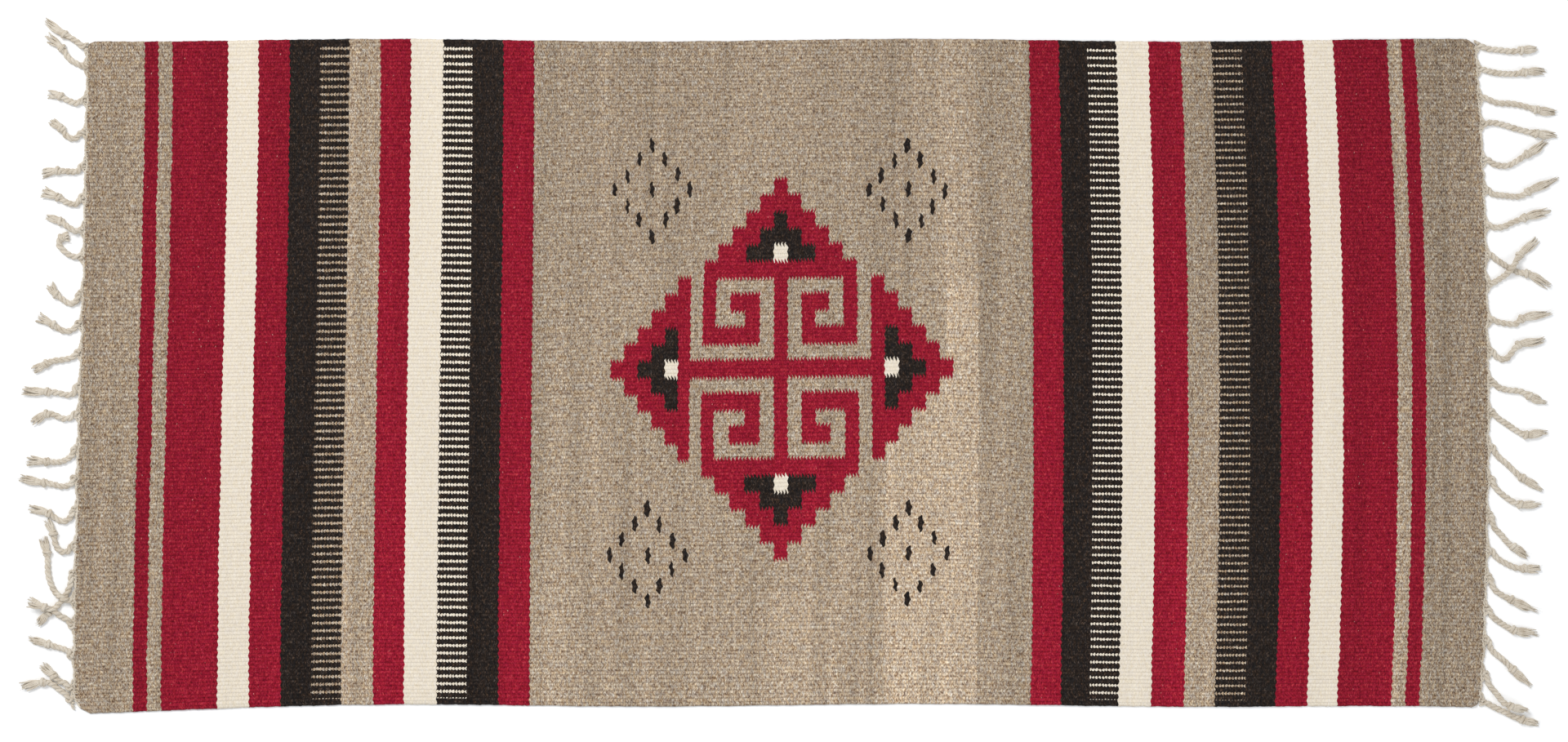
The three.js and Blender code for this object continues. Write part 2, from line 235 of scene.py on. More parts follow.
def hand_woven(along, across):
    """How far the middle of the field lies from its chart: nudged back, and wider round its spirals."""
    inside = unit(1 - (along / FIELD_HALF) ** 4)
    nudge = NUDGE * inside * unit(1 - (across / HALF_WIDTH) ** 4)
    left = np.exp(-((along - LEFT_SPIRALS) / SPIRAL_REACH) ** 2) * (5.6 * MM - 0.018 * across)
    right = np.exp(-((along - RIGHT_SPIRALS) / SPIRAL_REACH) ** 2) * (1.6 * MM - 0.014 * across)
    fade = unit(1.35 - np.abs(across) / 0.2)
    return (right - left) * fade * inside, nudge


def place(along, across, top):
    """Points of the cloth's upper or lower face at those loom positions."""
    pick_wander = PICK_WANDER * wander(along, across, [(0.05, 0.07), (0.11, 0.16)], 11)
    rib = np.where(np.round(across / (WARP_PITCH / 2)).astype(int) % 2 == 0, -1.0, 1.0)
    scallop = SCALLOP * np.sin(math.pi * (across + HALF_WIDTH) / WARP_PITCH)
    half = np.where(along < 0, LEFT_HALF, RIGHT_HALF)
    shift = corner_pull(along, across) + end_ripple(along, across) + pick_wander + scallop
    spread, nudge = hand_woven(along, across)
    x, y = lay(along + shift + spread, across + nudge)
    edge = unit((np.abs(across) - (HALF_WIDTH - SELVEDGE)) / SELVEDGE)
    lengths = [(0.007, 1), (0.019, 1), (0.07, 1)]
    y = y + edge * SELVEDGE_WOBBLE * MM * wander(along, 0 * across, lengths, 12)
    free = np.minimum(HALF_WIDTH - np.abs(across), half - np.abs(along))
    rounding = (1 - unit(free / RIM)) ** 2
    if top:
        swell = SWELL * wander(along, across, [(0.09, 0.06), (0.2, 0.3)], 13)
        fine = FINE_RELIEF * wander(along, across, [(0.008, 0.013), (0.013, 0.03)], 14)
        z = THICKNESS - SINK + swell + fine + 0.5 * RIB_RELIEF * rib
        z = z - RIM_DROP * rounding
    else:
        z = UNDER_RELIEF * (1 + rib) + RIM_RISE * rounding
    return np.stack([x, y, z], axis=-1)


# ---- which wool is where

def band_edges(side):
    """Loom positions of the band edges on one side, from the field outwards."""
    widths = [b[2 if side < 0 else 3] for b in BANDS]
    return FIELD_HALF + np.concatenate([[0], np.cumsum(widths)]) * MM


def band_wool(along):
    side = -1 if along < 0 else 1
    i = int(np.searchsorted(band_edges(side), abs(along), side="right")) - 1
    return BANDS[min(max(i, 0), len(BANDS) - 1)][1]


def chart_wool(along, across):
    """The medallion's wool at a loom position, G where it is the field."""
    column = math.floor(along / CELL_LENGTH + COLUMNS / 2)
    row = math.floor(ROWS / 2 - across / CELL_WIDTH)
    if not (0 <= column < COLUMNS and 0 <= row < ROWS):
        return "G"
    letter = CHART[min(row, ROWS - 1 - row)][min(column, COLUMNS - 1 - column)]
    return "G" if letter == "." else letter


# ---- materials

def linear(srgb):
    """Linear colour from 0-255 sRGB numbers."""
    c = np.array(srgb, float) / 255
    return [float(x) for x in np.where(c <= 0.04045, c / 12.92, ((c + 0.055) / 1.055) ** 2.4)] + [1.0]


class Nodes:
    """Short calls for one material's node tree."""

    def __init__(self, name):
        self.material = bpy.data.materials.new(name)
        self.material.use_nodes = True
        self.tree = self.material.node_tree
        self.tree.nodes.clear()

    def add(self, kind, inputs=None, **settings):
        node = self.tree.nodes.new(kind)
        for key, value in settings.items():
            setattr(node, key, value)
        for key, value in (inputs or {}).items():
            self.set(node.inputs[key], value)
        return node

    def set(self, socket, value):
        if isinstance(value, bpy.types.NodeSocket):
            self.tree.links.new(value, socket)
        else:
            socket.default_value = value

    def math(self, operation, a, b=0.0, c=0.0):
        return self.add("ShaderNodeMath", {0: a, 1: b, 2: c}, operation=operation).outputs[0]

    def plus(self, a, b):
        return self.math("ADD", a, b)

    def minus(self, a, b):
        return self.math("SUBTRACT", a, b)

    def times(self, a, b):
        return self.math("MULTIPLY", a, b)

    def mix(self, factor, a, b, blend="MIX"):
        node = self.add("ShaderNodeMix", data_type="RGBA", blend_type=blend)
        self.set(node.inputs[0], factor)
        self.set(node.inputs[6], a)
        self.set(node.inputs[7], b)
        return node.outputs[2]

    def noise(self, vector, scale, detail=2.0, rough=0.5):
        inputs = {"Vector": vector, "Scale": scale, "Detail": detail, "Roughness": rough}
        return self.add("ShaderNodeTexNoise", inputs).outputs["Fac"]

    def remap(self, value, low, high, to_low=0.0, to_high=1.0):
        node = self.add("ShaderNodeMapRange", {0: value, 1: low, 2: high, 3: to_low, 4: to_high})
        return node.outputs[0]

    def ramp(self, value, stops):
        node = self.add("ShaderNodeValToRGB", {0: value})
        elements = node.color_ramp.elements
        while len(elements) < len(stops):
            elements.new(0.5)
        for element, (position, colour) in zip(elements, stops):
            element.position = position
            element.color = colour
        return node.outputs[0]

    def scaled(self, vector, along, across, up=1.0):
        inputs = {0: vector, 1: (along, across, up)}
        return self.add("ShaderNodeVectorMath", inputs, operation="MULTIPLY").outputs[0]

    def moved(self, vector, by):
        """The vector moved, so that a noise there doesn't repeat one that is used elsewhere."""
        return self.add("ShaderNodeVectorMath", {0: vector, 1: by}, operation="ADD").outputs[0]

    def grey(self, value):
        """A grey colour of that value, to multiply another colour by."""
        return self.add("ShaderNodeCombineColor", {0: value, 1: value, 2: value}).outputs[0]

    def loom_mm(self):
        """Loom positions in mm."""
        uv = self.add("ShaderNodeUVMap", uv_map="loom").outputs[0]
        return self.scaled(uv, 1 / MM, 1 / MM, 0.0)

    def surface(self, inputs):
        """The finished material, with one principled shader."""
        shader = self.add("ShaderNodeBsdfPrincipled", inputs)
        output = self.add("ShaderNodeOutputMaterial")
        self.tree.links.new(shader.outputs[0], output.inputs[0])
        return self.material


# Each wool: colours of its fibres in 0-255 sRGB from dark to light, how strongly they differ, two
# tints that come and go in the yarn, streaks of yarn, the colours of pale flecks and dark specks and
# the noise level above which they show, and for the cream wool how light its painted shade in the hollows is
WOOLS = {
    "G": {"name": "grey_wool",
          "fibres": [(82, 62, 50), (134, 113, 94), (166, 149, 128), (188, 175, 155), (222, 213, 196)],
          "contrast": 1.0, "tints": [(1.09, 0.98, 0.83), (0.97, 1.0, 1.09)], "streak": 0.20,
          "fleck": (236, 228, 208), "flecks": 0.69, "speck": (84, 48, 38), "specks": 0.69},
    "R": {"name": "red_wool",
          "fibres": [(96, 7, 22), (126, 14, 33), (144, 20, 42), (161, 31, 51), (190, 62, 72)],
          "contrast": 1.0, "tints": [(1.08, 1.25, 1.0), (0.95, 0.85, 1.08)], "streak": 0.13,
          "fleck": (226, 172, 160), "flecks": 0.755, "speck": (86, 10, 24), "specks": 0.75},
    "K": {"name": "black_wool",
          "fibres": [(18, 15, 16), (28, 24, 23), (37, 31, 28), (49, 41, 36), (90, 76, 67)],
          "contrast": 1.05, "tints": [(1.2, 1.0, 0.8), (0.9, 1.0, 1.12)], "streak": 0.2,
          "fleck": (132, 92, 62), "flecks": 0.77, "speck": (16, 14, 16), "specks": 0.75},
    "C": {"name": "cream_wool",
          "fibres": [(196, 180, 156), (216, 203, 183), (227, 216, 199), (234, 225, 209), (244, 237, 225)],
          "contrast": 0.55, "tints": [(1.02, 1.0, 0.95), (1.0, 1.0, 1.02)], "streak": 0.035,
          "fleck": (252, 247, 238), "flecks": 0.76, "speck": (150, 126, 92), "specks": 0.77,
          # painted shade: the cream wool's hollows between the beads are darkened less
          "hollows": 0.82},
}
HOLLOW_SHADE = 0.6  # painted shade: how light the colour is made in the hollows between the beads; the hollows hardly show in the cream wool
FIBRE_STOPS = (0.0, 0.27, 0.5, 0.72, 1.0)  # where each fibre colour stands on the ramp
FLECK_EDGE = 0.04  # how gradually a fleck or speck begins, and how strong it gets
FLECK_STRENGTH = 0.75

# Places in the grey and the red wool where a lighter or darker batch of yarn was used: along from
# and to, across from and to, all in mm, and how much lighter
WHOLE_WIDTH = (-400, 400)
GREY_BATCHES = [
    (187, 223, -400, 100, 0.34), (187, 223, 100, 400, 0.20), (119, 187, -400, -3, 0.32),
    (104, 119, -400, -52, 0.15), (223, 286, *WHOLE_WIDTH, -0.05), (-30, 60, -400, -255, 0.10),
    (-195, -95, 120, 400, -0.06), (105, 130, 60, 400, -0.10), (150, 187, 0, 400, 0.07),
    (-8, 25, 200, 400, 0.08), (459, 495, *WHOLE_WIDTH, -0.04), (728, 810, *WHOLE_WIDTH, -0.17),
    (748, 757, *WHOLE_WIDTH, -0.10), (-810, -735, *WHOLE_WIDTH, -0.07), (-498, -462, *WHOLE_WIDTH, 0.10),
    (-719, -703, *WHOLE_WIDTH, -0.04),
]
RED_BATCHES = [
    (-736, -719, *WHOLE_WIDTH, -0.17), (-704, -639, *WHOLE_WIDTH, -0.08), (-604, -567, *WHOLE_WIDTH, -0.07),
    (634, 730, *WHOLE_WIDTH, -0.12), (563, 601, *WHOLE_WIDTH, -0.08),
]
BATCHES = {"G": GREY_BATCHES, "R": RED_BATCHES}
BATCH_RAGGED = (3.0, 8.0)  # how ragged a batch's edges are, along and across, in mm
ACROSS_GRADIENT = -0.00022  # how the grey and red colour changes for each mm towards the back; negative, so darker towards the back

TEETH_PITCH = 3.7  # dovetailed colour edges: mm between teeth, and half their height
TEETH_HEIGHT = 2.9
TEETH_UNEVEN = 5.0  # mm that the height of that edge varies in all
OVERLAP = 1.4  # mm that the medallion's wools reach over the grey

WARP_COLOURS = [(0.0, (178, 161, 137)), (0.5, (214, 203, 186)), (1.0, (236, 228, 214))]
TWIST_PITCH = 1.9  # mm across the fine twist of a warp yarn

# Bands with ticks: the material's name and the wool of the ticks
TICKS = {"T": ("ticked_wool", "C"), "U": ("grey_ticked_wool", "G")}
TICK_WIDTH = 0.03  # the ticks' share of a warp pair, and how much the beads add
TICK_BEADING = 0.40
TICK_THINNER = 0.07  # how much thinner they are at the right end
TICK_SELVEDGE = 7.5  # mm of plain black at both ends of a row of ticks


def yarn_batches(n, mm, batches):
    """How light the grey or red colour is at loom positions in mm: lighter and darker batches of yarn, and a
    steady gradient that is darker towards the back.
    """
    ragged = n.noise(n.scaled(mm, 0.5, 0.5), 1.0, 1.0)
    parts = n.add("ShaderNodeSeparateXYZ", {0: mm})
    ragged = n.minus(ragged, 0.5)
    along = n.plus(parts.outputs[0], n.times(ragged, BATCH_RAGGED[0]))
    across = n.plus(parts.outputs[1], n.times(ragged, BATCH_RAGGED[1]))
    # a steady gradient over the whole width: darker towards the back, lighter towards the front
    total = n.math("MULTIPLY_ADD", across, ACROSS_GRADIENT, 1.0)
    for low_u, high_u, low_v, high_v, gain in batches:
        u_in = n.math("COMPARE", along, (low_u + high_u) / 2, (high_u - low_u) / 2)
        v_in = n.math("COMPARE", across, (low_v + high_v) / 2, (high_v - low_v) / 2)
        inside = n.times(u_in, v_in)
        total = n.times(total, n.math("MULTIPLY_ADD", inside, gain, 1.0))
    return total


def wool_colour(n, letter, weave):
    """Colour of one wool: blended fibres, streaks of yarn, flecks, specks, and painted shade in the hollows
    between the beads.
    """
    wool, mm = WOOLS[letter], weave["mm"]
    fine = n.noise(n.scaled(mm, 0.85, 0.33), 1.0, 2.0, 0.6)
    coarse = n.noise(n.scaled(mm, 0.26, 0.11), 1.0, 2.0, 0.55)
    blend = n.plus(n.times(fine, 0.72), n.times(coarse, 0.28))
    spread = 0.16 / wool["contrast"]
    blend = n.remap(blend, 0.5 - spread, 0.5 + spread)
    stops = zip(FIBRE_STOPS, wool["fibres"])
    colour = n.ramp(blend, [(position, linear(c)) for position, c in stops])
    for_hue = n.moved(mm, (-83.0, 47.0, 11.0))
    hue = n.remap(n.noise(n.scaled(for_hue, 0.42, 0.12), 1.0, 2.0), 0.36, 0.64)
    tint = n.mix(hue, [*wool["tints"][0], 1.0], [*wool["tints"][1], 1.0])
    colour = n.mix(1.0, colour, tint, "MULTIPLY")
    streak = n.noise(n.scaled(mm, 0.045, 0.0016), 1.0, 4.0, 0.72)
    streak = n.remap(streak, 0.3, 0.7, 1 - wool["streak"], 1 + wool["streak"])
    if letter in BATCHES:
        streak = n.times(streak, yarn_batches(n, mm, BATCHES[letter]))
    colour = n.mix(1.0, colour, n.grey(streak), "MULTIPLY")
    fleck = n.noise(n.scaled(mm, 0.55, 0.24), 1.0, 1.0, 0.5)
    fleck = n.remap(fleck, wool["flecks"], wool["flecks"] + FLECK_EDGE, 0.0, FLECK_STRENGTH)
    colour = n.mix(fleck, colour, linear(wool["fleck"]))
    for_specks = n.moved(mm, (517.0, 291.0, 3.0))
    speck = n.noise(n.scaled(for_specks, 0.55, 0.25), 1.0, 1.0, 0.5)
    speck = n.remap(speck, wool["specks"], wool["specks"] + FLECK_EDGE, 0.0, FLECK_STRENGTH)
    colour = n.mix(speck, colour, linear(wool["speck"]))
    # painted shade: the colour is darkened in the hollows between the beads and ribs and lightened a little
    # on their crests, following the bead height
    shade = n.remap(weave["height"], 0.0, 0.7, wool.get("hollows", HOLLOW_SHADE), 1.05)
    return n.mix(1.0, colour, n.grey(shade), "MULTIPLY")


def weave_pattern(n, raised):
    """Loom positions in mm, the bead height 0..1, and teeth: 1 below a toothed edge and 0 above it,
    with that edge raised by some mm."""
    mm = n.loom_mm()
    tremble = n.noise(n.scaled(mm, 0.16, 0.16), 1.0, 2.0)
    parts = n.add("ShaderNodeSeparateXYZ", {0: mm})
    along = n.plus(parts.outputs[0], n.times(n.minus(tremble, 0.5), 2.2))
    across = n.plus(parts.outputs[1], HALF_WIDTH / MM)
    rib = n.math("DIVIDE", across, WARP_PITCH / MM)
    crest = n.math("ABSOLUTE", n.math("SINE", n.times(rib, math.pi)))
    offset = n.times(n.math("FLOOR", rib), 0.5)
    bead = n.plus(n.math("DIVIDE", along, BEAD / MM), offset)
    bead = n.math("ABSOLUTE", n.math("SINE", n.times(bead, math.pi)))
    height = n.times(n.math("POWER", crest, 0.7), n.math("MULTIPLY_ADD", bead, 0.45, 0.55))
    edge = n.add("ShaderNodeUVMap", uv_map="edge").outputs[0]
    above = n.times(n.add("ShaderNodeSeparateXYZ", {0: edge}).outputs[0], 1 / MM)
    tooth = n.math("PINGPONG", n.math("DIVIDE", along, TEETH_PITCH / 2), 1.0)
    reach = n.times(n.minus(tooth, 0.5), 2 * TEETH_HEIGHT)
    uneven = n.noise(n.scaled(mm, 0.21, 0.02), 1.0, 2.0)
    uneven = n.math("MULTIPLY_ADD", uneven, TEETH_UNEVEN, raised - TEETH_UNEVEN / 2)
    reach = n.plus(reach, uneven)
    teeth = n.math("LESS_THAN", above, reach)
    return {"mm": mm, "rib": rib, "bead": bead, "height": height, "teeth": teeth}


def tick_mask(n, weave):
    """1 on the black ribs of a ticked band and 0 on its pale beads. The selvedges are plain black."""
    pair = n.math("PINGPONG", n.plus(weave["rib"], 0.5), 1.0)
    wobble = n.noise(n.scaled(weave["mm"], 0.45, 0.3), 1.0, 1.0)
    edge = n.math("MULTIPLY_ADD", weave["bead"], TICK_BEADING, TICK_WIDTH)
    edge = n.plus(edge, n.times(n.minus(wobble, 0.5), 0.6))
    position = n.add("ShaderNodeSeparateXYZ", {0: weave["mm"]})
    right_end = n.math("GREATER_THAN", position.outputs[0], 0.0)
    edge = n.math("MULTIPLY_ADD", right_end, -TICK_THINNER, edge)
    black = n.remap(n.minus(pair, edge), -0.05, 0.05)
    from_middle = n.math("ABSOLUTE", position.outputs[1])
    selvedge = n.math("GREATER_THAN", from_middle, HALF_WIDTH / MM - TICK_SELVEDGE)
    return n.math("MAXIMUM", black, selvedge)


def finish_wool(n, colour, height, mm, strength):
    """A matt woolly surface with that colour and bumps of that height."""
    fibre = n.noise(n.scaled(mm, 3.2, 0.8), 1.0, 3.0, 0.65)
    relief = n.math("MULTIPLY_ADD", fibre, 0.45, height)
    bump = n.add("ShaderNodeBump", {"Strength": strength, "Distance": 0.5 * MM, "Height": relief})
    return n.surface({
        "Base Color": colour, "Roughness": 0.93, "Normal": bump.outputs[0],
        "Specular IOR Level": 0.12, "Sheen Weight": 0.03, "Sheen Roughness": 0.5,
    })


def woven(key):
    """A wool, a band with ticks, or two letters for a toothed edge, the first on its +Y side."""
    n = Nodes(TICKS[key][0] if key in TICKS else "_and_".join(WOOLS[k]["name"] for k in key))
    weave = weave_pattern(n, OVERLAP * (key.startswith("G") - key.endswith("G")))
    if key in TICKS:
        black = wool_colour(n, "K", weave)
        pale = wool_colour(n, TICKS[key][1], weave)
        colour = n.mix(tick_mask(n, weave), pale, black)
    else:
        colour = wool_colour(n, key[0], weave)
        if len(key) == 2:
            colour = n.mix(weave["teeth"], colour, wool_colour(n, key[1], weave))
    return finish_wool(n, colour, weave["height"], weave["mm"], 0.55)


def warp_yarn():
    """Undyed warp yarn. Its loom coordinates are the distance along a yarn and round it, in mm."""
    n = Nodes("warp_yarn")
    mm = n.loom_mm()
    parts = n.add("ShaderNodeSeparateXYZ", {0: mm})
    turn = n.plus(n.times(parts.outputs[0], 0.30), parts.outputs[1])
    twist = n.math("SINE", n.times(turn, TAU / TWIST_PITCH))
    twist = n.math("MULTIPLY_ADD", twist, 0.5, 0.5)
    position = n.add("ShaderNodeNewGeometry").outputs["Position"]
    tone = n.noise(n.scaled(position, 90.0, 90.0), 1.0, 3.0, 0.6)
    fibre = n.noise(n.scaled(mm, 0.5, 2.4), 1.0, 3.0, 0.65)
    blend = n.plus(n.times(tone, 0.45), n.times(fibre, 0.55))
    # painted shade: the colour is darker in the grooves of the twist and lighter on its crests
    blend = n.plus(blend, n.times(n.minus(twist, 0.5), 0.14))
    blend = n.remap(blend, 0.32, 0.68)
    colour = n.ramp(blend, [(at, linear(c)) for at, c in WARP_COLOURS])
    return finish_wool(n, colour, twist, mm, 0.5)


made_materials = {}


def material(key):
    """The material of that key, made when it is first asked for. W is the warp yarn."""
    if key not in made_materials:
        made_materials[key] = warp_yarn() if key == "W" else woven(key)
    return made_materials[key]


# ---- building meshes

def make_object(name, points, faces, keys, loom, edge=None):
    """A mesh object: points, faces, a material key for each face or one for all, loom positions for
    each face corner, and how far each corner is above the toothed edge that crosses its face."""
    mesh = bpy.data.meshes.new(name)
    mesh.from_pydata([tuple(p) for p in points], [], faces)
    mesh.update()
    if isinstance(keys, str):
        mesh.materials.append(material(keys))
    else:
        names = sorted(set(keys))
        for key in names:
            mesh.materials.append(material(key))
        index = {key: i for i, key in enumerate(names)}
        mesh.polygons.foreach_set("material_index", [index[k] for k in keys])
    mesh.uv_layers.new(name="loom").data.foreach_set("uv", np.asarray(loom, np.float32).ravel())
    if edge is not None:
        pairs = np.stack([edge, np.zeros(len(edge))], axis=1)
        mesh.uv_layers.new(name="edge").data.foreach_set("uv", pairs.astype(np.float32).ravel())
    mesh.polygons.foreach_set("use_smooth", [True] * len(mesh.polygons))
    obj = bpy.data.objects.new(name, mesh)
    bpy.context.scene.collection.objects.link(obj)
    return obj


PLAIN_SPACING = 3.4 * MM  # between columns of points in the field, the medallion and the bands
CHART_SPACING = 2.6 * MM
BAND_SPACING = 2.5 * MM


def picked(count, step):
    """Every step-th of so many places, and the last."""
    return sorted(set(list(range(0, count, step)) + [count - 1]))


def upper_faces(u, v, top, wool_at):
    """Quads of the upper face, their materials, and how far each corner is above a toothed edge."""
    faces, keys, edge = [], [], []
    middle_v = (v[:-1] + v[1:]) / 2
    reach = (TEETH_HEIGHT + 0.9 + OVERLAP) * MM
    row_edge = (ROWS / 2 - np.round(ROWS / 2 - middle_v / CELL_WIDTH)) * CELL_WIDTH
    for i in range(len(u) - 1):
        middle_u = (u[i] + u[i + 1]) / 2
        upper = [wool_at(middle_u, y) for y in middle_v + reach]
        lower = [wool_at(middle_u, y) for y in middle_v - reach]
        for j in range(len(v) - 1):
            faces.append((top[i][j], top[i + 1][j], top[i + 1][j + 1], top[i][j + 1]))
            keys.append(upper[j] if upper[j] == lower[j] else upper[j] + lower[j])
            below = v[j] - row_edge[j]
            above = v[j + 1] - row_edge[j]
            edge += [below, below, above, above]
    return faces, keys, edge


def lower_faces(u, v, under, wool_at):
    """Quads of the lower face and their materials, at its own columns and rows."""
    faces, keys = [], []
    for a in range(len(u) - 1):
        middle_u = (u[a] + u[a + 1]) / 2
        for b in range(len(v) - 1):
            faces.append((under[a][b], under[a][b + 1], under[a + 1][b + 1], under[a + 1][b]))
            keys.append(wool_at(middle_u, (v[b] + v[b + 1]) / 2))
    return faces, keys


def rim_faces(u, v, pick_u, pick_v, top, under, wool_at):
    """Faces round the rim, from each edge of the lower face up to the finer edges above it."""
    faces, keys = [], []
    for a, (i0, i1) in enumerate(zip(pick_u[:-1], pick_u[1:])):
        middle_u = (u[i0] + u[i1]) / 2
        faces.append([under[a][0], under[a + 1][0]] + [top[i][0] for i in range(i1, i0 - 1, -1)])
        keys.append(wool_at(middle_u, -HALF_WIDTH + MM))
        faces.append([under[a + 1][-1], under[a][-1]] + [top[i][-1] for i in range(i0, i1 + 1)])
        keys.append(wool_at(middle_u, HALF_WIDTH - MM))
    for b, (j0, j1) in enumerate(zip(pick_v[:-1], pick_v[1:])):
        middle_v = (v[j0] + v[j1]) / 2
        faces.append([under[0][b + 1], under[0][b]] + [top[0][j] for j in range(j0, j1 + 1)])
        keys.append(wool_at(u[0] + MM, middle_v))
        faces.append([under[-1][b], under[-1][b + 1]] + [top[-1][j] for j in range(j1, j0 - 1, -1)])
        keys.append(wool_at(u[-1] - MM, middle_v))
    return faces, keys


def cloth_piece(name, columns, wool_at, column_step, row_step):
    """A closed thin sheet: a fine woven upper face and a plainer lower face with the same wools."""
    u = np.array(columns)
    v = np.linspace(-HALF_WIDTH, HALF_WIDTH, 2 * WARPS + 1)
    pick_u = picked(len(u), column_step)
    pick_v = picked(len(v), row_step)
    upper = np.meshgrid(u, v, indexing="ij")
    lower = np.meshgrid(u[pick_u], v[pick_v], indexing="ij")
    points = np.vstack([place(*upper, True).reshape(-1, 3), place(*lower, False).reshape(-1, 3)])
    loom_of = np.vstack([np.stack(grid, -1).reshape(-1, 2) for grid in (upper, lower)])
    top = np.arange(upper[0].size).reshape(upper[0].shape).tolist()
    under = (upper[0].size + np.arange(lower[0].size)).reshape(lower[0].shape).tolist()
    faces, keys, edge = upper_faces(u, v, top, wool_at)
    for more_faces, more_keys in (lower_faces(u[pick_u], v[pick_v], under, wool_at),
                                  rim_faces(u, v, pick_u, pick_v, top, under, wool_at)):
        faces += more_faces
        keys += more_keys
    corners = np.concatenate([np.asarray(f) for f in faces])
    edge += [0.0] * (len(corners) - len(edge))
    return make_object(name, points, faces, keys, loom_of[corners], edge)


def spaced_columns(edges, spacing):
    """Positions that include every edge, about spacing apart between them."""
    columns = [edges[0]]
    for low, high in zip(edges[:-1], edges[1:]):
        count = max(1, round((high - low) / spacing))
        columns += list(np.linspace(low, high, count + 1)[1:])
    return columns


def middle_columns():
    """Positions along the field, with one at every edge of the medallion's chart."""
    chart_half = COLUMNS / 2 * CELL_LENGTH
    cells = np.linspace(-chart_half, chart_half, COLUMNS + 1)
    plain = spaced_columns([-FIELD_HALF, -chart_half], PLAIN_SPACING)
    woven_cells = spaced_columns(list(cells), CHART_SPACING)
    return plain[:-1] + woven_cells + [-x for x in plain[:-1]][::-1]


def end_columns(side):
    """Positions along an end panel, with one at every edge of its bands."""
    return spaced_columns(sorted(side * band_edges(side)), BAND_SPACING)


class Parts:
    """Collects points, faces and loom coordinates of many small solids for one object."""

    def __init__(self):
        self.points, self.faces, self.loom = [], [], []
        self.count = 0

    def tube(self, line, radius, sides=10, lobes=0, depth=0.0, twist=0.0, phase=0.0):
        """A closed tube. Lobes make the grooves of a plied yarn, turning by twist radians a metre."""
        line = np.asarray(line, float)
        radius = np.broadcast_to(np.asarray(radius, float), (len(line),))
        tangent = np.gradient(line, axis=0)
        tangent /= np.linalg.norm(tangent, axis=1)[:, None] + 1e-12
        across = np.cross((0, 0, 1.0), tangent[0])
        if np.linalg.norm(across) < 0.2:
            across = np.cross((0, 1.0, 0), tangent[0])
        gone = np.concatenate([[0], np.cumsum(np.linalg.norm(np.diff(line, axis=0), axis=1))])
        angle = np.arange(sides) * TAU / sides
        for i, centre in enumerate(line):
            across = across - tangent[i] * (across @ tangent[i])
            across /= np.linalg.norm(across)
            upward = np.cross(tangent[i], across)
            turned = angle + phase + twist * gone[i]
            swell = radius[i] * (1 + depth * np.cos(lobes * turned))
            ring = centre + np.outer(swell * np.cos(angle), across) + np.outer(swell * np.sin(angle), upward)
            self.points.extend(ring)
        width = TAU * float(radius.max())
        for i in range(len(line) - 1):
            for k in range(sides):
                m = (k + 1) % sides
                a, b = self.count + i * sides, self.count + (i + 1) * sides
                self.faces.append((a + k, a + m, b + m, b + k))
                low, high = k / sides * width, (k + 1) / sides * width
                self.loom += [(gone[i], low), (gone[i], high), (gone[i + 1], high), (gone[i + 1], low)]
        end = self.count + (len(line) - 1) * sides
        self.faces.append(tuple(self.count + k for k in reversed(range(sides))))
        self.faces.append(tuple(end + k for k in range(sides)))
        self.loom += [(gone[0], 0)] * sides + [(gone[-1], 0)] * sides
        self.count += len(line) * sides

    def make(self, name, key, floor=0.1 * MM):
        points = np.array(self.points)
        points[:, 2] = np.maximum(points[:, 2], floor)
        return make_object(name, points, self.faces, key, self.loom)


def between(s, low, high, first, last):
    """The point at s on the straight line from first at low to last at high."""
    return ((high - s) * first + (s - low) * last) / (high - low)


def points_at(where, at, line):
    """Points at those distances along a line whose own points are at distances at."""
    return np.stack([np.interp(where, at, line[:, k]) for k in range(3)], axis=1)


def spline(points, step):
    """A centripetal curve through the points, resampled about step apart: its points, how far along
    it they are, and how far along it each given point is."""
    p = np.asarray(points, float)
    p = np.vstack([2 * p[0] - p[1], p, 2 * p[-1] - p[-2]])
    t = np.concatenate([[0], np.cumsum(np.linalg.norm(np.diff(p, axis=0), axis=1) ** 0.5)])
    curve, marks = [], []
    for i in range(1, len(p) - 2):
        marks.append(len(curve))
        for s in np.linspace(t[i], t[i + 1], 12, endpoint=False):
            a = [between(s, t[i + k], t[i + k + 1], p[i + k], p[i + k + 1]) for k in (-1, 0, 1)]
            b = [between(s, t[i + k - 1], t[i + k + 1], a[k], a[k + 1]) for k in (0, 1)]
            curve.append(between(s, t[i], t[i + 1], b[0], b[1]))
    marks.append(len(curve))
    curve = np.array(curve + [p[-2]])
    gone = np.concatenate([[0], np.cumsum(np.linalg.norm(np.diff(curve, axis=0), axis=1))])
    count = max(4, int(gone[-1] / step) + 1)
    at = np.linspace(0, gone[-1], count)
    return points_at(at, gone, curve), at, gone[marks]


def frames_of(line):
    """Unit vectors to the left of a mostly level line and upwards from it."""
    tangent = np.gradient(line, axis=0)
    tangent /= np.linalg.norm(tangent, axis=1)[:, None]
    left = np.cross((0, 0, 1.0), tangent)
    left /= np.linalg.norm(left, axis=1)[:, None]
    return left, np.cross(tangent, left)


def ragged_end(side, across):
    """How far out the cloth's end is pulled at a place across it."""
    along = side * HALF[side]
    return side * (corner_pull(along, across) + end_ripple(along, across))


def beyond_end(side, across, out):
    """A point beyond the cloth's end, all in metres."""
    x, y = lay(side * HALF[side], across)
    return np.array([float(x) + side * out, float(y)])


# ---- the fringe

CORD_RADIUS = 3.1 * MM
PLY_RADIUS = 2.05 * MM  # a cord has two plies, this far from its middle
PLY_OFFSET = 1.6 * MM
ROOT_LIMIT = 0.379  # across the rug, the outermost place where a warp yarn comes out
KNOT_TURNS = 1.55
KNOT_HALF_LENGTH = 2.6 * MM
KNOT_RADIUS = 3.5 * MM  # of the wrapped yarn's middle
KNOT_YARN = 2.15 * MM
BULB = 3.1  # mm that a tuft's strands spread, at splay 0 and at splay 1
BROOM = 4.9
WISPS = 7


